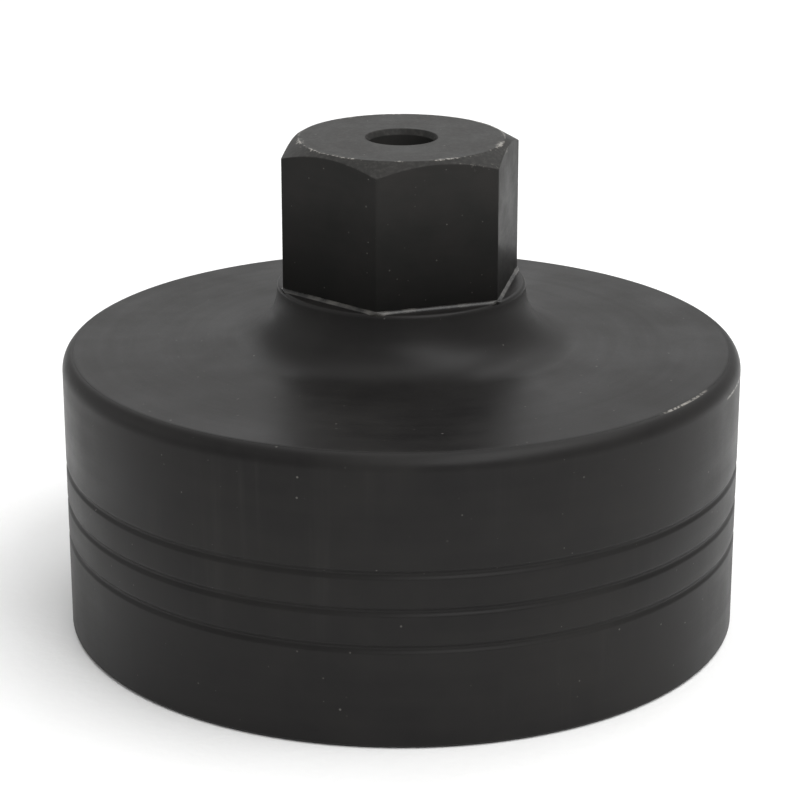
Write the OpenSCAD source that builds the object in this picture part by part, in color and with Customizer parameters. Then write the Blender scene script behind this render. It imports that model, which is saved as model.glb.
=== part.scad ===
// Cup-type oil filter wrench with a hexagonal drive head.
//
// The cup stands on its open mouth at z = 0, on the axis of the tool, with the
// drive head on top. A filter goes into the mouth and is gripped by the flats
// of a ring inside the skirt; a spanner or socket turns the hexagon.

/* [Drive head] */
// Width of the hexagon across its flats
hex_af = 36; // [30:0.5:38]
// Height of the hexagon above the neck
hex_h = 24.5; // [18:0.5:32]
// Diameter of the flat top inside the hexagon's chamfer
hex_top_d = 34.2; // [28:0.1:34.6]
// Slope of the hexagon's top chamfer, in degrees
hex_chamfer_slope = 30; // [20:1:40]
// Diameter of the hole through the drive head
bore_d = 11; // [6:0.5:12]
// Diameter of the hole's mouth, at the top of its countersink
bore_mouth_d = 12.1; // [11.6:0.1:20]
// Diameter of the spigot that carries the head down through the neck
spigot_d = 26; // [20:0.5:30]
// Height of the bead that closes the joint at the hexagon's foot
foot_bead_h = 0.5; // [0.3:0.1:1]

/* [Crown] */
// Diameter of the round neck under the hexagon
neck_d = 41.8; // [41.6:0.1:48]
// Height of the neck's top face above the straight part of the skirt
neck_rise = 13.7; // [13.2:0.1:20]
// Radius of the hollow curve from the neck into the crown
cove_r = 9; // [5:0.5:9]
// Slope of the crown down towards its edge, in degrees
crown_slope = 2; // [0:0.5:3]
// Thickness of the crown at its edge
crown_t = 6.2; // [4:0.1:8]

/* [Skirt] */
// Outer diameter of the skirt
skirt_d = 114.3; // [112:0.1:120]
// Height of the straight part of the skirt above the mouth
skirt_straight_h = 45.3; // [44:0.1:48]
// Radius of the rounded shoulder round the skirt's top
shoulder_r = 3.2; // [2.5:0.1:3.8]
// How far the shoulder's curve turns before it meets the crown, in degrees
shoulder_turn = 65; // [50:1:75]
// Wall thickness of the skirt, below the seat of the crown
skirt_wall = 4.5; // [3.5:0.1:6]
// Height of the middle one of the three grooves above the mouth
groove_mid_z = 22.9; // [18:0.1:28]
// Distance from one groove to the next
groove_pitch = 6.15; // [4:0.05:7]
// Width of each groove
groove_w = 1.6; // [1:0.1:3]
// Depth of each groove
groove_depth = 0.45; // [0.2:0.05:0.8]

/* [Grip ring] */
// Number of flats that grip the filter
grip_flats = 18; // [12:1:24]
// Width across two opposite flats of the grip ring
grip_af = 96; // [90:0.5:99]
// Height of the grip ring
grip_h = 26; // [16:1:28]
// Depth of the rounded-off lead into the grip ring
grip_lead = 2; // [0.5:0.5:3]

/* [Hidden] */

$fn = 96;
over = 1;                               // how far a cutting tool runs past a face

oxide = [0.15, 0.15, 0.15];             // black oxide finish on steel
bright_oxide = [0.24, 0.24, 0.235];     // the same finish, worn thin
weld_scale = [0.20, 0.19, 0.18];        // dressed weld metal

// Drive head
neck_top_z = skirt_straight_h + neck_rise;
hex_r = hex_af / 2 / cos(30);
hex_top_r = hex_top_d / 2;
hex_top_z = neck_top_z + hex_h;
chamfer_blank_r = hex_r + 3;
chamfer_blank_h = (chamfer_blank_r - hex_top_r) * tan(hex_chamfer_slope);
spigot_r = spigot_d / 2;
bore_r = bore_d / 2;
bore_sink = 0.95;                       // depth of the countersink at the top
bore_break = 0.5;                       // edge break at the bottom of the hole

// Crown
neck_r = neck_d / 2;
neck_edge = 0.1;                        // edge break round the neck's top face
skirt_r = skirt_d / 2;
crown_r = skirt_r - shoulder_r * (1 - cos(shoulder_turn));
crown_edge_z = skirt_straight_h + shoulder_r * sin(shoulder_turn);
seat_z = crown_edge_z - crown_t;
cove_x = neck_r + cove_r;
cove_z = crown_edge_z + (crown_r - cove_x) * tan(crown_slope) + cove_r / cos(crown_slope);

// Skirt
rim_break = 0.5;                        // edge break outside the mouth
mouth_lead = 1.2;                       // chamfer inside the mouth
skirt_bore_r = skirt_r - skirt_wall;
ring_stop = 1.15;                       // step in the bore that stops the grip ring
stop_bore_r = skirt_bore_r - ring_stop;
groove_r = (pow(groove_w / 2, 2) + pow(groove_depth, 2)) / (2 * groove_depth);

// Grip ring
ring_top_z = seat_z - 6;
ring_low_z = ring_top_z - grip_h;
grip_corner_r = grip_af / 2 / cos(180 / grip_flats);

// Welds
bead = 3.5;                             // leg of the two weld beads under the crown
stitch = 2.5;                           // leg of each stitch under the grip ring
stitch_count = 6;
stitch_span = 24;                       // degrees of the circle that one stitch takes

// Points along an arc about [x, z], from one angle to another
function arc(x, z, r, from, to, steps) = [
    for (i = [0:steps])
        let (a = from + (to - from) * i / steps)
        [x + r * cos(a), z + r * sin(a)]
];

// Corners of a regular polygon whose first corner lies on +X
function ngon(count, r) = [
    for (i = [0:count - 1]) [r * cos(360 * i / count), r * sin(360 * i / count)]
];

// A three-cornered weld bead in the corner at [x, z], with its legs along the
// directions given by dx and dz, turned about the axis through span degrees
module bead_ring(x, z, dx, dz, span = 360) {
    rotate_extrude(angle = span)
        polygon([[x, z], [x + dx, z], [x + dx * 0.42, z + dz * 0.42], [x, z + dz]]);
}

// The hexagon's blank, rounded off at the top by its chamfer
module chamfered_hexagon() {
    intersection() {
        translate([0, 0, neck_top_z]) cylinder(h = hex_h, r = hex_r, $fn = 6);
        union() {
            translate([0, 0, neck_top_z - over])
                cylinder(h = hex_h + over - chamfer_blank_h, r = chamfer_blank_r);
            translate([0, 0, hex_top_z - chamfer_blank_h])
                cylinder(h = chamfer_blank_h, r1 = chamfer_blank_r, r2 = hex_top_r);
        }
    }
}

// Hexagon and spigot in one piece, drilled right through
module drive_head() {
    spigot_low_z = seat_z - bead;
    color(oxide)
    difference() {
        union() {
            chamfered_hexagon();
            translate([0, 0, spigot_low_z])
                cylinder(h = neck_top_z - spigot_low_z, r = spigot_r);
        }
        translate([0, 0, spigot_low_z - over])
            cylinder(h = hex_top_z - spigot_low_z + 2 * over, r = bore_r);
        translate([0, 0, hex_top_z - bore_sink])
            cylinder(h = bore_sink, r1 = bore_r, r2 = bore_mouth_d / 2);
        translate([0, 0, spigot_low_z])
            cylinder(h = bore_break, r1 = bore_r + bore_break, r2 = bore_r);
    }
}

// One side of the foot bead: a three-cornered strip along one flat, cut to the
// wedge between the two corners of that flat
module foot_strip() {
    intersection() {
        translate([-hex_r, hex_af / 2, neck_top_z])
            rotate([90, 0, 90])
                linear_extrude(height = 2 * hex_r)
                    polygon([[0, 0], [foot_bead_h, 0], [0, foot_bead_h]]);
        translate([0, 0, neck_top_z])
            linear_extrude(height = foot_bead_h)
                polygon([[0, 0], [hex_af * tan(30), hex_af], [-hex_af * tan(30), hex_af]]);
    }
}

// The bead that closes the joint between the hexagon and the neck
module foot_bead() {
    color(bright_oxide)
    intersection() {
        union() {
            for (side = [0:5]) rotate([0, 0, 60 * side]) foot_strip();
        }
        translate([0, 0, neck_top_z])
            cylinder(h = foot_bead_h, r = neck_r - neck_edge);
    }
}

// Neck, cove and crown in one turned piece, seated in the top of the skirt
module crown() {
    color(oxide)
    rotate_extrude()
        polygon(concat(
            [[spigot_r, seat_z], [crown_r, seat_z], [crown_r, crown_edge_z]],
            arc(cove_x, cove_z, cove_r, 270 - crown_slope, 180, 22),
            [[neck_r, neck_top_z - neck_edge], [neck_r - neck_edge, neck_top_z]],
            [[spigot_r, neck_top_z]]
        ));
}

// Straight tube with a rounded shoulder, bored in steps from both ends
module skirt_blank() {
    rotate_extrude()
        polygon(concat(
            [[skirt_bore_r + mouth_lead, 0], [skirt_r - rim_break, 0], [skirt_r, rim_break]],
            arc(skirt_r - shoulder_r, skirt_straight_h, shoulder_r, 0, shoulder_turn, 13),
            [[crown_r, seat_z], [stop_bore_r, seat_z], [stop_bore_r, ring_top_z]],
            [[skirt_bore_r, ring_top_z], [skirt_bore_r, mouth_lead]]
        ));
}

// The skirt, with its three shallow grooves
module skirt() {
    color(oxide)
    difference() {
        skirt_blank();
        for (step = [-1:1])
            translate([0, 0, groove_mid_z + step * groove_pitch])
                rotate_extrude()
                    translate([skirt_r - groove_depth + groove_r, 0])
                        circle(r = groove_r, $fn = 48);
    }
}

// Ring of flats that grips the filter, pressed in up to the step
module grip_ring() {
    lead_r = grip_corner_r + grip_lead;
    color(bright_oxide)
    translate([0, 0, ring_low_z])
    difference() {
        cylinder(h = grip_h, r = skirt_bore_r);
        translate([0, 0, -over])
            linear_extrude(height = grip_h + 2 * over)
                polygon(ngon(grip_flats, grip_corner_r));
        cylinder(h = lead_r, r1 = lead_r, r2 = 0);
    }
}

// Weld round the end of the spigot, under the crown
module head_weld() {
    color(weld_scale) bead_ring(spigot_r, seat_z, bead, -bead);
}

// Weld round the inner corner between the crown and the skirt
module crown_weld() {
    color(weld_scale) bead_ring(stop_bore_r, seat_z, -bead, -bead);
}

// Stitches that hold the lower face of the grip ring to the skirt
module ring_welds() {
    color(weld_scale)
    for (i = [0:stitch_count - 1])
        rotate([0, 0, 360 * i / stitch_count - stitch_span / 2])
            bead_ring(skirt_bore_r, ring_low_z, -stitch, -stitch, stitch_span);
}

drive_head();
foot_bead();
crown();
skirt();
grip_ring();
head_weld();
crown_weld();
ring_welds();
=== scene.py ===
"""Looks of the cup-type oil filter wrench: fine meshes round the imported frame, steel finishes,
a pale studio floor, soft light and the camera. Outlines are in millimetres, Blender is in metres."""

import math

import bpy
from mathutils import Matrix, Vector


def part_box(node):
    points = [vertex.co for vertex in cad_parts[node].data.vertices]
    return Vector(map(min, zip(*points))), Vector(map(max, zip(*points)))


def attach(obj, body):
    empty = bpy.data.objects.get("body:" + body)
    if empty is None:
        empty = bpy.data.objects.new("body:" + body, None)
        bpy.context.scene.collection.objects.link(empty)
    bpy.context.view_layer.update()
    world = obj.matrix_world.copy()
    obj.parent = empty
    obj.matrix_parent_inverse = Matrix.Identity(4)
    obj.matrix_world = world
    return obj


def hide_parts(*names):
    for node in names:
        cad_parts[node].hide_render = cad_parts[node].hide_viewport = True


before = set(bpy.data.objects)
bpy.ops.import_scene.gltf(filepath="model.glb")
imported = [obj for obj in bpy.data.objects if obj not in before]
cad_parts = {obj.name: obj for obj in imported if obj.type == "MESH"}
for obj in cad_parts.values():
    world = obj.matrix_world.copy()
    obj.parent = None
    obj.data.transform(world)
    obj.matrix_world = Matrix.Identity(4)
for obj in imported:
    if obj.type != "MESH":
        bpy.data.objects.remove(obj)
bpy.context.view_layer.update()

MM = 0.001

# ---------------------------------------------------------------- sizes, in mm


def box_mm(node):
    """Lowest and highest corners of a CAD node, in millimetres."""
    low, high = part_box(node)
    return low / MM, high / MM


HEAD_LOW, HEAD_HIGH = box_mm("drive_head")
BEAD_LOW, BEAD_HIGH = box_mm("foot_bead")
CROWN_LOW, CROWN_HIGH = box_mm("crown")
SKIRT_LOW, SKIRT_HIGH = box_mm("skirt")
RING_LOW, RING_HIGH = box_mm("grip_ring")
HEAD_WELD_LOW, HEAD_WELD_HIGH = box_mm("head_weld")
CROWN_WELD_LOW, CROWN_WELD_HIGH = box_mm("crown_weld")
STITCH_LOW, STITCH_HIGH = box_mm("ring_welds")

# Drive head
HEX_APOTHEM = HEAD_HIGH.y
HEX_SIDES = 6
HEX_TOP_Z = HEAD_HIGH.z
HEX_TOP_R = HEX_APOTHEM * 0.95
HEX_CHAMFER = math.tan(math.radians(30))
HEX_CORNER_R = 0.35
TURNED_FACE = 0.3  # upward part of the normal, above which a face of the head is a turned one
RUB_DEPTH = 8  # below the head's top, where the wear of its upright corners has died down
BORE_R = 5.5
SINK_R, SINK_DEPTH = 6.05, 0.95
BORE_BREAK = 0.5
SPIGOT_LOW_Z = HEAD_LOW.z
FOOT_ROOT = 0.3  # that the foot bead's mesh goes down into the neck

# Crown
NECK_TOP_Z = CROWN_HIGH.z
SEAT_Z = CROWN_LOW.z
CROWN_R = CROWN_HIGH.x
CROWN_EDGE_Z = SKIRT_HIGH.z
CROWN_SLOPE = math.radians(2)
SPIGOT_R = 13.0
NECK_R = 20.9
NECK_EDGE = 0.1
COVE_R = 9.0
COVE_X = NECK_R + COVE_R
COVE_Z = (
    CROWN_EDGE_Z
    + (CROWN_R - COVE_X) * math.tan(CROWN_SLOPE)
    + COVE_R / math.cos(CROWN_SLOPE)
)

# Skirt
SKIRT_R = SKIRT_HIGH.x
MOUTH_Z = SKIRT_LOW.z
SHOULDER_R = 3.2
SHOULDER_TURN = 65
SHOULDER_Z = CROWN_EDGE_Z - SHOULDER_R * math.sin(math.radians(SHOULDER_TURN))
BLEND_R = 2.1  # of the soft turn from the shoulder's curve into the crown
SKIRT_BORE_R = RING_HIGH.x
STOP_BORE_R = CROWN_WELD_HIGH.x
MOUTH_LEAD = 1.2
RIM_BREAK = 0.5
GROOVE_MID_Z, GROOVE_PITCH = 22.9, 6.15
GROOVE_HALF, GROOVE_DEPTH = 0.95, 0.38

# Grip ring
GRIP_FLATS = 18
GRIP_APOTHEM = 48.0
GRIP_ROOT_R = 0.8
GRIP_LEAD_R = GRIP_APOTHEM / math.cos(math.pi / GRIP_FLATS) + 2

# Welds
OVERLAP = 0.02  # that a bead sinks into the steel it is laid on
WELD_LEG = 0.86  # of the CAD leg, which leaves room for the ripples
STITCHES = 6
STITCH_HALF_SPAN = math.radians(12)
RIPPLE_COLUMNS = 8  # to each ripple of a full weld bead

# Fineness of the meshes
TURNED_COLUMNS = 288
CORNER_STEPS = 4  # spans round every softened corner
HOLD = 0.12  # from a softened corner to the row that holds the face beside it flat

# The soft turn runs from BLEND_LOW to BLEND_HIGH, in degrees, and the seam cuts it at BLEND_SEAM
BLEND_HIGH = 90 - math.degrees(CROWN_SLOPE)
crown_above = (
    CROWN_EDGE_Z + (CROWN_R - SKIRT_R + SHOULDER_R) * math.tan(CROWN_SLOPE) - SHOULDER_Z
) * math.cos(CROWN_SLOPE)
lean = math.degrees(math.acos((crown_above - BLEND_R) / (SHOULDER_R - BLEND_R)))
BLEND_LOW = BLEND_HIGH - lean
BLEND_X = SKIRT_R - SHOULDER_R + (SHOULDER_R - BLEND_R) * math.cos(math.radians(BLEND_LOW))
BLEND_Z = SHOULDER_Z + (SHOULDER_R - BLEND_R) * math.sin(math.radians(BLEND_LOW))
BLEND_SEAM = math.degrees(math.acos((CROWN_R - BLEND_X) / BLEND_R))
SEAM_Z = BLEND_Z + BLEND_R * math.sin(math.radians(BLEND_SEAM))

# ---------------------------------------------------------------- mesh building


def pointing(turn, rise):
    """Unit vector at an angle round the axis from +X and an angle above the floor, in degrees."""
    turn, rise = math.radians(turn), math.radians(rise)
    return Vector(
        (math.cos(rise) * math.cos(turn), math.cos(rise) * math.sin(turn), math.sin(rise))
    )


def arc(centre_r, centre_z, radius, start, end, steps):
    """Points of an arc in an outline, as (r, z, rounding), from one angle in degrees to another."""
    points = []
    for i in range(steps + 1):
        a = math.radians(start + (end - start) * i / steps)
        points.append((centre_r + radius * math.cos(a), centre_z + radius * math.sin(a), 0))
    return points


def soften(outline, fade=0.7):
    """Rounds the corners of a closed outline that runs anticlockwise. A corner is (r, z, rounding)
    or (r, z, rounding, rub), where rub is how hard use has rubbed it, 1 unless given.
    Returns (r, z, wear): wear is rub on a rounded outer corner and fades to 0 over fade mm of
    the faces beside it, where two points a side also hold those faces flat."""
    made = []
    for i, (r, z, rounding, *rub) in enumerate(outline):
        if not rounding:
            made.append((r, z, 0.0))
            continue
        here = Vector((r, z))
        before = Vector(outline[i - 1][:2]) - here
        after = Vector(outline[(i + 1) % len(outline)][:2]) - here
        inside = before.angle(after)
        reach = rounding / math.tan(inside / 2)
        outer = (rub[0] if rub else 1.0) if before.x * after.y - before.y * after.x < 0 else 0.0
        beside = []
        for side in (before, after):
            free = side.length - reach
            side.normalize()
            held = here + side * (reach + min(HOLD, 0.2 * free))
            faded = here + side * (reach + min(fade, 0.4 * free))
            beside.append(((*faded, 0.0), (*held, 0.8 * outer)))
        middle = here + (before + after).normalized() * (rounding / math.sin(inside / 2))
        first = here + before * reach - middle
        turn = first.angle_signed(here + after * reach - middle)
        made.extend(beside[0])
        for k in range(CORNER_STEPS + 1):
            a = -turn * k / CORNER_STEPS
            x = first.x * math.cos(a) - first.y * math.sin(a)
            y = first.x * math.sin(a) + first.y * math.cos(a)
            made.append((middle.x + x, middle.y + y, outer))
        made.extend(reversed(beside[1]))
    return made


def ring_solid(name, columns, closed=True):
    """A solid round the axis, through columns of (angle, outline) with the same count of points,
    each an outline of (r, z, wear) in mm that runs anticlockwise. An open one gets end caps."""
    verts, wear, faces = [], [], []
    for angle, outline in columns:
        for r, z, worn in outline:
            verts.append((r * math.cos(angle) * MM, r * math.sin(angle) * MM, z * MM))
            wear.append(worn)
    count = len(columns[0][1])
    spans = len(columns) if closed else len(columns) - 1
    for i in range(spans):
        here, there = i * count, (i + 1) % len(columns) * count
        for k in range(count):
            up = (k + 1) % count
            faces.append((here + k, there + k, there + up, here + up))
    if not closed:
        faces.append(tuple(range(count)))
        last = (len(columns) - 1) * count
        faces.append(tuple(last + k for k in reversed(range(count))))
    mesh = bpy.data.meshes.new(name)
    mesh.from_pydata(verts, [], faces)
    mesh.polygons.foreach_set("use_smooth", [True] * len(faces))
    mesh.attributes.new("wear", "FLOAT", "POINT").data.foreach_set("value", wear)
    mesh.validate()
    piece = bpy.data.objects.new(name, mesh)
    bpy.context.scene.collection.objects.link(piece)
    return piece


def turned(name, outline):
    """A lathe-turned solid with one outline all the way round."""
    points = soften(outline)
    step = 2 * math.pi / TURNED_COLUMNS
    return ring_solid(name, [(i * step, points) for i in range(TURNED_COLUMNS)])


def polygon_columns(sides, apothem, corner_r, per_side):
    """(angle, radius, on_corner) of columns round a polygon with rounded corners, the first
    corner on +X, with per_side spans along each side."""
    half = math.pi / sides
    centre = (apothem - corner_r) / math.cos(half)
    flat = apothem * math.tan(half)
    tangent = flat - corner_r * math.tan(half)
    across = [(apothem, -tangent + HOLD, 0.8)]
    for i in range(1, per_side):
        a = -half + 2 * half * i / per_side
        across.append((apothem, apothem * math.tan(a), 0.0))
    across.append((apothem, tangent - HOLD, 0.8))
    columns = []
    for side in range(sides):
        corner = 2 * half * side
        for i in range(CORNER_STEPS + 1):
            a = corner - half + 2 * half * i / CORNER_STEPS
            x = centre * math.cos(corner) + corner_r * math.cos(a)
            y = centre * math.sin(corner) + corner_r * math.sin(a)
            columns.append((x, y, 1.0))
        face = corner + half
        for out, along, worn in across:
            x = out * math.cos(face) - along * math.sin(face)
            y = out * math.sin(face) + along * math.cos(face)
            columns.append((x, y, worn))
    return [(math.atan2(y, x) % (2 * math.pi), math.hypot(x, y), worn) for x, y, worn in columns]


# ---------------------------------------------------------------- pieces


def make_drive_head():
    """The milled hexagon with its turned chamfer, countersunk bore and spigot."""
    columns = []
    for angle, side_r, on_corner in polygon_columns(HEX_SIDES, HEX_APOTHEM, HEX_CORNER_R, 18):
        edge_z = HEX_TOP_Z - (side_r - HEX_TOP_R) * HEX_CHAMFER
        outline = soften(
            [
                (BORE_R + BORE_BREAK, SPIGOT_LOW_Z, 0.1),
                (SPIGOT_R, SPIGOT_LOW_Z, 0.3),
                (SPIGOT_R, NECK_TOP_Z, 0),
                (side_r, NECK_TOP_Z, 0),
                (side_r, edge_z, 0.22, 0.3),
                (HEX_TOP_R, HEX_TOP_Z, 0.25),
                (SINK_R, HEX_TOP_Z, 0.25, 0),
                (BORE_R, HEX_TOP_Z - SINK_DEPTH, 0.3, 0),
                (BORE_R, SPIGOT_LOW_Z + BORE_BREAK, 0.1),
            ],
            fade=1.2,
        )
        for k, (r, z, worn) in enumerate(outline):
            if r > HEX_TOP_R + 0.5 and z > NECK_TOP_Z - OVERLAP:
                rubbed = 0.7 * on_corner * max(0.4, 1 - (HEX_TOP_Z - z) / RUB_DEPTH)
                outline[k] = (r, z, max(worn, rubbed))
        columns.append((angle, outline))
    return ring_solid("hex_drive_head", columns)


def make_foot_bead():
    """The thin dressed bead in the corner between the hexagon and the neck."""
    height = BEAD_HIGH.z - BEAD_LOW.z
    limit = NECK_R - NECK_EDGE
    root_z = BEAD_LOW.z - FOOT_ROOT
    columns = []
    for angle, side_r, _ in polygon_columns(HEX_SIDES, HEX_APOTHEM, HEX_CORNER_R, 40):
        out = min(side_r * (1 + height / HEX_APOTHEM), limit)
        low = BEAD_LOW.z + height * max(0.06, 1 - (out - side_r) * HEX_APOTHEM / side_r / height)
        inner = side_r - OVERLAP
        outline = soften(
            [
                (inner, root_z, 0),
                (out, root_z, 0),
                (out, low, 0),
                (side_r + 0.03, BEAD_HIGH.z, 0),
                (inner, BEAD_HIGH.z, 0),
            ]
        )
        columns.append((angle, outline))
    return ring_solid("hex_foot_bead", columns)


def make_crown():
    """Neck, hollow cove and gently sloping crown, turned in one piece."""
    slope = math.degrees(CROWN_SLOPE)
    return turned(
        "crown_and_neck",
        [
            (SPIGOT_R, SEAT_Z, 0),
            (CROWN_R, SEAT_Z, 0),
            (CROWN_R, SEAM_Z, 0.04, 0.3),
            *arc(BLEND_X, BLEND_Z, BLEND_R, BLEND_SEAM + 4, BLEND_HIGH, 6),
            *arc(COVE_X, COVE_Z, COVE_R, 270 - slope, 180, 30),
            (NECK_R, NECK_TOP_Z, 0.6, 0),
            (SPIGOT_R, NECK_TOP_Z, 0),
        ],
    )


def groove(middle_z, steps=16):
    """Outline of one shallow groove, eased into the skirt at both edges, from the bottom up."""
    points = []
    for i in range(steps + 1):
        across = 2 * i / steps - 1
        depth = GROOVE_DEPTH * (1 + math.cos(math.pi * across)) / 2
        points.append((SKIRT_R - depth, middle_z + GROOVE_HALF * across, 0))
    return points


def make_skirt():
    """The straight skirt with its rounded shoulder, three grooves and stepped bore."""
    grooves = [groove(GROOVE_MID_Z + step * GROOVE_PITCH) for step in (-1, 0, 1)]
    return turned(
        "cup_skirt",
        [
            (SKIRT_BORE_R + MOUTH_LEAD, MOUTH_Z, 0.15),
            (SKIRT_R - RIM_BREAK, MOUTH_Z, 0.15, 0.5),
            (SKIRT_R, MOUTH_Z + RIM_BREAK, 0.2, 0.5),
            *grooves[0],
            *grooves[1],
            *grooves[2],
            *arc(SKIRT_R - SHOULDER_R, SHOULDER_Z, SHOULDER_R, 0, BLEND_LOW, 12),
            *arc(BLEND_X, BLEND_Z, BLEND_R, BLEND_LOW + 5, BLEND_SEAM - 4, 4),
            (CROWN_R, SEAM_Z, 0.04, 0.3),
            (CROWN_R, SEAT_Z, 0),
            (STOP_BORE_R, SEAT_Z, 0),
            (STOP_BORE_R, RING_HIGH.z, 0),
            (SKIRT_BORE_R, RING_HIGH.z, 0),
            (SKIRT_BORE_R, MOUTH_Z + MOUTH_LEAD, 0.15),
        ],
    )


def make_grip_ring():
    """The ring whose broached flats grip the filter, with a coned lead towards the mouth."""
    columns = []
    low, high = RING_LOW.z, RING_HIGH.z
    for angle, side_r, _ in polygon_columns(GRIP_FLATS, GRIP_APOTHEM, GRIP_ROOT_R, 12):
        outline = soften(
            [
                (side_r, low + GRIP_LEAD_R - side_r, 0.25),
                (GRIP_LEAD_R, low, 0.2),
                (SKIRT_BORE_R, low, 0.3),
                (SKIRT_BORE_R, high, 0.3),
                (side_r, high, 0.25),
            ]
        )
        columns.append((angle, outline))
    return ring_solid("grip_ring_flats", columns)


def bead_outline(corner_r, corner_z, leg_r, leg_z, phase):
    """Section of a weld bead in the corner at (corner_r, corner_z), with legs of signed length.
    phase is how far along its ripples this section is, and 1 is a whole ripple. The face swells
    out between its legs, by shares of their length."""
    steps = 10
    face = []
    for i in range(steps + 1):
        across = i / steps
        crescent = phase - 0.55 * (2 * across - 1) ** 2
        ripple = abs(math.sin(math.pi * crescent)) ** 0.7
        swell = 0.112 * math.sin(math.pi * across) + 0.0245 * ripple
        share_r = 1 - across + swell
        share_z = across + swell
        face.append((corner_r + leg_r * share_r, corner_z + leg_z * share_z, 0.0))
    root = (corner_r - math.copysign(OVERLAP, leg_r), corner_z - math.copysign(OVERLAP, leg_z), 0.0)
    outline = [root, *face]
    area = sum(
        a[0] * b[1] - b[0] * a[1] for a, b in zip(outline, outline[1:] + outline[:1], strict=True)
    )
    return outline if area > 0 else outline[::-1]


def weld_ring(name, corner_r, corner_z, leg_r, leg_z, ripple):
    """A full weld bead round the axis, with a whole number of ripples about that long in mm."""
    count = round(2 * math.pi * corner_r / ripple) * RIPPLE_COLUMNS
    columns = []
    for i in range(count):
        angle = 2 * math.pi * i / count
        phase = i / RIPPLE_COLUMNS
        columns.append((angle, bead_outline(corner_r, corner_z, leg_r, leg_z, phase)))
    return ring_solid(name, columns)


def make_head_weld():
    """The full bead round the spigot, under the crown."""
    leg = (HEAD_WELD_HIGH.z - HEAD_WELD_LOW.z) * WELD_LEG
    return weld_ring("spigot_weld", SPIGOT_R, SEAT_Z, leg, -leg, ripple=1.5)


def make_crown_weld():
    """The full bead in the corner between the crown and the skirt."""
    leg = (CROWN_WELD_HIGH.z - CROWN_WELD_LOW.z) * WELD_LEG
    return weld_ring("crown_seam_weld", STOP_BORE_R, SEAT_Z, -leg, -leg, ripple=1.8)


def make_stitches():
    """The short beads under the grip ring, each a piece with rounded ends."""
    leg = (STITCH_HIGH.z - STITCH_LOW.z) * WELD_LEG
    steps = 48
    columns_per_ripple = 6
    made = []
    for number in range(STITCHES):
        middle = 2 * math.pi * number / STITCHES
        columns = []
        for i in range(steps + 1):
            along = 2 * i / steps - 1
            size = leg * max(0.12, math.sqrt(max(0.0, 1 - abs(along) ** 6)))
            angle = middle + along * STITCH_HALF_SPAN
            phase = i / columns_per_ripple
            columns.append((angle, bead_outline(SKIRT_BORE_R, RING_LOW.z, -size, -size, phase)))
        made.append(ring_solid(f"ring_stitch_{number + 1}", columns, closed=False))
    return made


# ---------------------------------------------------------------- finishes

PALE_MARK = "#75736f"  # scuffs and dust
BARE_STEEL = "#b5b1aa"


def srgb(code):
    """A hex colour such as #2a2a2a as linear red, green, blue and alpha."""
    parts = [int(code[i : i + 2], 16) / 255 for i in (1, 3, 5)]
    linear = [c / 12.92 if c <= 0.04045 else ((c + 0.055) / 1.055) ** 2.4 for c in parts]
    return (*linear, 1)


def add(tree, kind, settings=None, **links):
    """Adds a node with its settings, and fills its inputs by name with values, sockets or the
    first output of a node. An input's name has _ for each space, and in_0 is the first input."""
    made = tree.nodes.new("ShaderNode" + kind)
    for key, value in (settings or {}).items():
        setattr(made, key, value)
    for key, value in links.items():
        name = int(key[3:]) if key.startswith("in_") else key.replace("_", " ")
        if isinstance(value, bpy.types.Node):
            value = value.outputs[0]
        if isinstance(value, bpy.types.NodeSocket):
            tree.links.new(value, made.inputs[name])
        else:
            made.inputs[name].default_value = value
    return made


def new_finish(name):
    """An empty material, its tree, and its object coordinates in millimetres."""
    material = bpy.data.materials.new(name)
    material.use_nodes = True
    tree = material.node_tree
    tree.nodes.clear()
    place = add(tree, "TexCoord").outputs["Object"]
    mm = add(tree, "VectorMath", {"operation": "SCALE"}, Vector=place, Scale=1 / MM)
    return material, tree, mm


def product(tree, *factors):
    """The factors multiplied together."""
    made = factors[0]
    for factor in factors[1:]:
        made = add(tree, "Math", {"operation": "MULTIPLY"}, in_0=made, in_1=factor)
    return made


def facing(tree):
    """The X and Z parts of the surface's own direction: Z is 1 on top and 0 on upright walls."""
    normal = tree.nodes["Texture Coordinate"].outputs["Normal"]
    parts = add(tree, "SeparateXYZ", Vector=normal)
    return parts.outputs["X"], parts.outputs["Z"]


def streaks(tree, mm, across, along, patch):
    """Scuffs that run up and down on upright walls, across mm wide and along mm long, in patches
    patch mm wide: 0 to 1."""
    place = add(tree, "Mapping", Vector=mm, Scale=(1 / across, 1 / across, 1 / along))
    noise = add(tree, "TexNoise", Vector=place, Scale=1.0, Detail=3.0, Roughness=0.6)
    line = add(tree, "MapRange", Value=noise, From_Min=0.55, From_Max=0.8)
    area = add(tree, "TexNoise", Vector=mm, Scale=1 / patch, Detail=1.0)
    near = add(tree, "MapRange", Value=area, From_Min=0.5, From_Max=0.68)
    _, upward = facing(tree)
    upright = add(tree, "MapRange", Value=upward, From_Min=0.3, From_Max=0.1)
    return product(tree, line, near, upright)


def round_axis(tree, mm):
    """Unit vector out from the axis, distance from the axis in mm, and height in mm."""
    flat = add(tree, "VectorMath", {"operation": "MULTIPLY"}, in_0=mm, in_1=(1, 1, 0))
    spoke = add(tree, "VectorMath", {"operation": "NORMALIZE"}, in_0=flat)
    radius = add(tree, "VectorMath", {"operation": "LENGTH"}, in_0=flat).outputs["Value"]
    height = add(tree, "SeparateXYZ", Vector=mm).outputs["Z"]
    return spoke, radius, height


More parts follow.
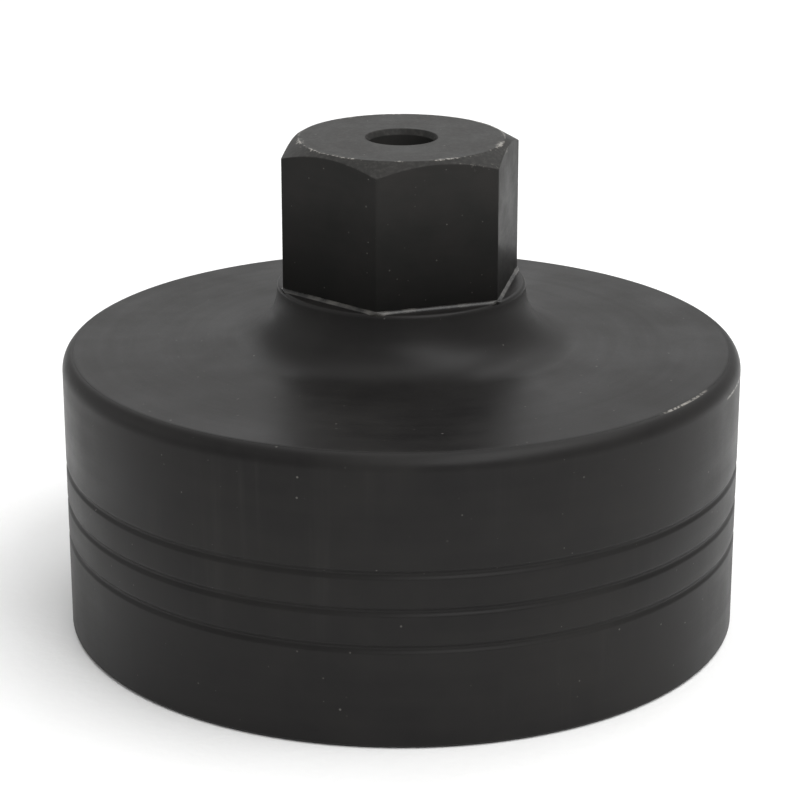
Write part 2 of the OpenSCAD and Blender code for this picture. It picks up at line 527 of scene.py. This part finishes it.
def turning_lines(tree, mm, pitch, drift=2.5):
    """Fine lines round the axis, as a lathe tool leaves them, 0 to 1, about pitch mm apart on
    flat faces and on the sides alike. Each fades in and out some way round, the sooner the
    larger drift is."""
    spoke, radius, height = round_axis(tree, mm)
    lift = add(tree, "CombineXYZ", Z=radius)
    wander = (drift * pitch, drift * pitch, 0)
    place = add(
        tree, "VectorMath", {"operation": "MULTIPLY_ADD"}, in_0=spoke, in_1=wander, in_2=lift
    )
    return add(
        tree, "TexNoise", {"noise_dimensions": "4D"},
        Vector=place, W=height, Scale=1 / pitch, Detail=2.0, Roughness=0.6,
    )


def highlight_arc(tree, mm, radius, height, turn, half_span, width):
    """A painted highlight along the circle at (radius, height) round the axis, 0 to 1: broken
    strokes of bare steel width mm wide, for half_span degrees to either side of the angle turn."""
    spoke, out, up = round_axis(tree, mm)
    place = add(tree, "CombineXYZ", X=out, Y=up)
    away = add(
        tree, "VectorMath", {"operation": "DISTANCE"}, in_0=place, in_1=(radius, height, 0)
    ).outputs["Value"]
    line = add(tree, "MapRange", Value=away, From_Min=width, From_Max=width / 3)
    towards = add(
        tree, "VectorMath", {"operation": "DOT_PRODUCT"}, in_0=spoke, in_1=pointing(turn, 0)
    ).outputs["Value"]
    end = math.cos(math.radians(half_span))
    full = math.cos(math.radians(half_span * 0.6))
    near = add(tree, "MapRange", Value=towards, From_Min=end, From_Max=full)
    noise = add(tree, "TexNoise", Vector=mm, Scale=1 / 0.8, Detail=3.0, Roughness=0.7)
    broken = add(tree, "MapRange", Value=noise, From_Min=0.42, From_Max=0.56)
    return product(tree, line, near, broken)


def rubbed_edges(tree, mm, cover):
    """Where the finish has rubbed off the corners, 0 to 1: ragged patches a few mm long.
    cover is about the share of the corners that shows steel."""
    edge = add(tree, "Attribute", {"attribute_name": "wear"}).outputs["Fac"]
    patches = add(tree, "TexNoise", Vector=mm, Scale=1 / 5, Detail=2.0)
    ragged = add(tree, "TexNoise", Vector=mm, Scale=1 / 0.6, Detail=4.0, Roughness=0.7)
    both = add(tree, "Math", {"operation": "ADD"}, in_0=patches, in_1=ragged)
    worn = add(tree, "Math", {"operation": "MULTIPLY_ADD"}, in_0=edge, in_1=0.3, in_2=both)
    start = 1.5 - 0.4 * cover
    shown = add(tree, "MapRange", Value=worn, From_Min=start, From_Max=start + 0.15)
    near = add(tree, "MapRange", Value=edge, From_Max=0.3)
    return product(tree, shown, near)


def specks(tree, mm, spacing, size):
    """Scattered specks of dust and bare steel of mixed sizes up to size mm, 0 to 1."""
    cells = add(tree, "TexVoronoi", Vector=mm, Scale=1 / spacing)
    chance = add(tree, "SeparateColor", Color=cells.outputs["Color"])
    spread = add(
        tree, "Math", {"operation": "MULTIPLY"}, in_0=chance.outputs[1], in_1=size / spacing / 2
    )
    inside = add(tree, "Math", {"operation": "SUBTRACT"}, in_0=spread, in_1=cells)
    spot = add(tree, "MapRange", Value=inside, From_Min=-0.01, From_Max=0.01)
    shown = add(tree, "MapRange", Value=chance, From_Min=0.4, From_Max=1.0)
    return product(tree, spot, shown)


def oxide_skin(
    tree, mm, lines, line_height, bare, pale, tones, cloud=20, gloss=0.12, satin=(0.34, 0.44)
):
    """The shader that the blackened pieces share: black oxide between two tones and two satin
    roughnesses, in clouds cloud mm wide that the lathe's pass has drawn out round the axis, with
    a fine grain, tool lines line_height mm high, pale marks that lie on it, and bare steel where
    it is gone. The oiled oxide shines by gloss, far less than the steel."""
    clouds = add(tree, "TexNoise", Vector=mm, Scale=1 / cloud, Detail=4.0, Roughness=0.6)
    bands = turning_lines(tree, mm, cloud / 8, 1.0)
    blend = add(tree, "Mix", in_0=0.25, in_2=clouds, in_3=bands)
    patch = add(tree, "MapRange", Value=blend, From_Min=0.35, From_Max=0.65)
    grain = add(tree, "TexNoise", Vector=mm, Scale=1 / 0.3, Detail=3.0, Roughness=0.7)
    colour = srgb(tones[0])
    for share, over in ((patch, tones[1]), (pale, PALE_MARK), (bare, BARE_STEEL)):
        colour = add(
            tree, "Mix", {"data_type": "RGBA"}, in_0=share, in_6=colour, in_7=srgb(over)
        ).outputs[2]
    smooth = add(tree, "MapRange", Value=patch, To_Min=satin[0], To_Max=satin[1])
    matt = add(tree, "MapRange", Value=grain, To_Min=-0.06, To_Max=0.06)
    oiled = add(tree, "Math", {"operation": "ADD"}, in_0=smooth, in_1=matt)
    rough = add(
        tree, "Math", {"operation": "MULTIPLY_ADD"}, in_0=bare, in_1=-0.08, in_2=oiled
    )
    tooled = product(tree, lines, line_height)
    height = add(
        tree, "Math", {"operation": "MULTIPLY_ADD"}, in_0=grain, in_1=0.004, in_2=tooled
    )
    relief = add(tree, "Bump", Height=height, Distance=MM)
    shader = add(
        tree, "BsdfPrincipled",
        Base_Color=colour, Metallic=bare, Roughness=rough, Specular_IOR_Level=gloss, Normal=relief,
    )
    add(tree, "OutputMaterial", Surface=shader)


def black_oxide_turned_steel():
    """Lathe-turned steel, hot blackened and oiled: near black and satin, with fine turning lines
    round the axis, soft clouds, light scuffs and dust, and two painted highlight lines of bare steel
    at the shoulder."""
    material, tree, mm = new_finish("black_oxide_turned_steel")
    lines = turning_lines(tree, mm, 0.4)
    rubbed = rubbed_edges(tree, mm, 0.2)
    # Painted highlights: broken strokes of bare steel along the seam and the shoulder, where
    # highlight lines fall on the lit side.
    seam_highlight = highlight_arc(tree, mm, CROWN_R, SEAM_Z, -54, 8, 0.3)
    shoulder_highlight = highlight_arc(tree, mm, SKIRT_R, SHOULDER_Z, -35, 7, 0.25)
    painted_highlights = add(tree, "Math", {"operation": "ADD"}, in_0=seam_highlight, in_1=shoulder_highlight)
    # bare here is both real rubbed corners and the painted highlight strokes.
    bare = add(tree, "Math", {"operation": "MULTIPLY_ADD"}, in_0=painted_highlights, in_1=0.6, in_2=rubbed)
    scuffs = streaks(tree, mm, 2, 60, 30)
    dust = product(tree, specks(tree, mm, 1.8, 0.4), 0.55)
    pale = add(tree, "Math", {"operation": "MULTIPLY_ADD"}, in_0=scuffs, in_1=0.05, in_2=dust)
    oxide_skin(
        tree, mm, lines, 0.006, bare, pale, ("#191818", "#222120"), gloss=0.15, satin=(0.36, 0.5)
    )
    return material


def black_oxide_head_steel(name, gloss):
    """The drive head: flats milled in fine level lines, a turned top and chamfer, all blackened.
    Sockets have rubbed it bright in patches round the top, and scuffed the flats towards +X.
    The flats and the turned faces differ only in gloss, which each has as a plain value."""
    material, tree, mm = new_finish(name)
    outward, upward = facing(tree)
    is_turned = add(
        tree, "MapRange", Value=upward, From_Min=TURNED_FACE - 0.1, From_Max=TURNED_FACE + 0.1
    )
    is_scuffed = add(tree, "MapRange", Value=outward, From_Min=0.4, From_Max=0.6)
    place = add(tree, "Mapping", Vector=mm, Scale=(1 / 12, 1 / 12, 1 / 0.4))
    milled = add(tree, "TexNoise", Vector=place, Scale=1.0, Detail=2.0)
    lines = add(tree, "Mix", in_0=is_turned, in_2=milled, in_3=turning_lines(tree, mm, 0.4))
    bare = product(tree, rubbed_edges(tree, mm, 0.52), 0.55)
    scuffs = product(tree, streaks(tree, mm, 0.5, 8, 3), is_scuffed)
    dust = product(tree, specks(tree, mm, 1.6, 0.35), 0.6)
    marks = add(tree, "Math", {"operation": "MULTIPLY_ADD"}, in_0=scuffs, in_1=0.45, in_2=dust)
    noise = add(tree, "TexNoise", Vector=mm, Scale=1 / 0.8, Detail=4.0, Roughness=0.7)
    mottle = add(tree, "MapRange", Value=noise, From_Min=0.45, From_Max=0.8, To_Max=0.15)
    handled = product(tree, mottle, is_turned)
    pale = add(tree, "Math", {"operation": "ADD"}, in_0=marks, in_1=handled)
    oxide_skin(tree, mm, lines, 0.006, bare, pale, ("#2b2b2a", "#302f2e"), cloud=7, gloss=gloss)
    return material


def dressed_bead_steel():
    """The bead at the hexagon's foot, dressed smooth with a file, so its thin oxide is glossier
    than the rest and it catches the light as a fine line, with steel showing here and there."""
    material, tree, mm = new_finish("dressed_bead_steel")
    filed = add(tree, "TexNoise", Vector=mm, Scale=1 / 0.3, Detail=3.0)
    patches = add(tree, "TexNoise", Vector=mm, Scale=1 / 3, Detail=2.0)
    bare = add(tree, "MapRange", Value=patches, From_Min=0.45, From_Max=0.7, To_Max=0.15)
    dust = specks(tree, mm, 2.5, 0.4)
    oxide_skin(
        tree, mm, filed, 0.01, bare, dust, ("#1f1f1e", "#262525"),
        cloud=5, gloss=0.28, satin=(0.24, 0.3),
    )
    return material


def broached_steel():
    """The grip ring: flats cut by a broach pushed straight through, so its lines run along the
    axis, and filters have rubbed the blackening thin along the edges."""
    material, tree, mm = new_finish("broached_steel")
    place = add(tree, "Mapping", Vector=mm, Scale=(1 / 0.4, 1 / 0.4, 1 / 25))
    broached = add(tree, "TexNoise", Vector=place, Scale=1.0, Detail=2.0)
    bare = rubbed_edges(tree, mm, 0.7)
    scuffs = streaks(tree, mm, 0.6, 10, 12)
    oxide_skin(tree, mm, broached, 0.012, bare, scuffs, ("#2a2928", "#363533"), cloud=12)
    return material


def blackened_weld_metal():
    """Weld beads that went through the blackening with the cup: rippled in their shape, scaly,
    duller than the cut steel, and a little brown."""
    material, tree, mm = new_finish("blackened_weld_metal")
    scale = add(tree, "TexNoise", Vector=mm, Scale=1 / 0.7, Detail=4.0, Roughness=0.7)
    patches = add(tree, "TexNoise", Vector=mm, Scale=1 / 2.5, Detail=2.0)
    bare = add(tree, "MapRange", Value=patches, From_Min=0.62, From_Max=0.75, To_Max=0.5)
    dust = specks(tree, mm, 2.0, 0.5)
    oxide_skin(tree, mm, scale, 0.05, bare, dust, ("#272422", "#3b3733"), cloud=6)
    return material


def white_floor_paint():
    """Matt white studio paint with a faint roller mottle."""
    material, tree, mm = new_finish("white_floor_paint")
    mottle = add(tree, "TexNoise", Vector=mm, Scale=1 / 30, Detail=3.0)
    colour = add(
        tree, "Mix", {"data_type": "RGBA"}, in_0=mottle, in_6=srgb("#f7f7f6"), in_7=srgb("#fbfbfb")
    ).outputs[2]
    stipple = add(tree, "TexNoise", Vector=mm, Scale=1 / 2, Detail=2.0)
    relief = add(tree, "Bump", Height=stipple, Distance=0.1 * MM)
    rough = add(tree, "MapRange", Value=mottle, To_Min=0.85, To_Max=0.95)
    shader = add(
        tree, "BsdfPrincipled", Base_Color=colour, Roughness=rough, Normal=relief
    )
    add(tree, "OutputMaterial", Surface=shader)
    return material


# ---------------------------------------------------------------- assembly

cup_finish = black_oxide_turned_steel()
head_finish = black_oxide_head_steel("black_oxide_milled_steel", gloss=0.02)
head_top_finish = black_oxide_head_steel("black_oxide_faced_steel", gloss=0.045)
foot_finish = dressed_bead_steel()
ring_finish = broached_steel()
weld_finish = blackened_weld_metal()

for piece, node, slot, finish in (
    (make_drive_head(), "drive_head", "head_steel", head_finish),
    (make_foot_bead(), "foot_bead", "bead_steel", foot_finish),
    (make_crown(), "crown", "cup_steel", cup_finish),
    (make_skirt(), "skirt", "cup_steel", cup_finish),
    (make_grip_ring(), "grip_ring", "ring_steel", ring_finish),
    (make_head_weld(), "head_weld", "weld_steel", weld_finish),
    (make_crown_weld(), "crown_weld", "weld_steel", weld_finish),
    *((stitch, "ring_welds", "weld_steel", weld_finish) for stitch in make_stitches()),
):
    piece.data.materials.append(finish)
    if node == "drive_head":
        piece.data.materials.append(head_top_finish)
        for face in piece.data.polygons:
            face.material_index = int(face.normal.z > TURNED_FACE)
    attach(piece, "root")
    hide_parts(node)

# ---------------------------------------------------------------- studio

HALF_FLOOR = 4.0
FLOOR_Z = -0.00003  # just under the mouth's rim, so the two faces don't share one plane
CAMERA_TURN, CAMERA_RISE = -108.70, 18.92
CAMERA_DISTANCE = 0.45148
AIM = Vector((-0.00024, 0.00008, 0.03757))  # near the middle of the tool, for camera and lights
floor_mesh = bpy.data.meshes.new("studio_floor")
floor_mesh.from_pydata(
    [(x * HALF_FLOOR, y * HALF_FLOOR, FLOOR_Z) for x, y in ((-1, -1), (1, -1), (1, 1), (-1, 1))],
    [],
    [(0, 1, 2, 3)],
)
floor_mesh.materials.append(white_floor_paint())
floor = bpy.data.objects.new("studio_floor", floor_mesh)
bpy.context.scene.collection.objects.link(floor)

world = bpy.data.worlds.new("studio_surround")
bpy.context.scene.world = world
world.use_nodes = True
surround = world.node_tree.nodes["Background"]
surround.inputs["Color"].default_value = (1, 1, 1, 1)
surround.inputs["Strength"].default_value = 0.53


def softbox(name, turn, rise, distance, width, height, brightness):
    """A soft rectangular light that faces the cup from distance metres off, at an angle round the
    axis and an angle above the floor. brightness is what its face gives off, at any size."""
    data = bpy.data.lights.new(name, "AREA")
    data.shape = "RECTANGLE"
    data.size = width
    data.size_y = height
    data.energy = brightness * math.pi * width * height
    lamp = bpy.data.objects.new(name, data)
    out = pointing(turn, rise)
    lamp.location = AIM + out * distance
    lamp.rotation_euler = out.to_track_quat("Z", "Y").to_euler()
    bpy.context.scene.collection.objects.link(lamp)


softbox("overhead_softbox", CAMERA_TURN + 180, 80, 0.9, 0.8, 0.8, 1.2)
softbox("back_softbox", CAMERA_TURN - 170, 30, 1.2, 1.0, 0.6, 0.88)
softbox("back_right_softbox", CAMERA_TURN + 142, 45, 1.1, 0.5, 0.5, 1.7)
softbox("left_softbox", CAMERA_TURN - 95, 20, 1.2, 0.8, 0.5, 0.55)
softbox("front_softbox", CAMERA_TURN + 20, 42, 1.0, 0.5, 0.35, 4.5)
softbox("key_softbox", CAMERA_TURN + 62, 58, 0.8, 0.6, 0.4, 4.2)

bpy.context.scene.view_settings.view_transform = "Standard"

# Camera: above the left front of the hexagon, looking down at the middle of the cup
camera_data = bpy.data.cameras.new("camera")
camera_data.lens = 119.05
camera_data.sensor_width = 36
camera_data.clip_start = 0.01
camera = bpy.data.objects.new("camera", camera_data)
view = pointing(CAMERA_TURN, CAMERA_RISE)
camera.location = AIM + view * CAMERA_DISTANCE
camera.rotation_euler = view.to_track_quat("Z", "Y").to_euler()
bpy.context.scene.collection.objects.link(camera)
bpy.context.scene.camera = camera
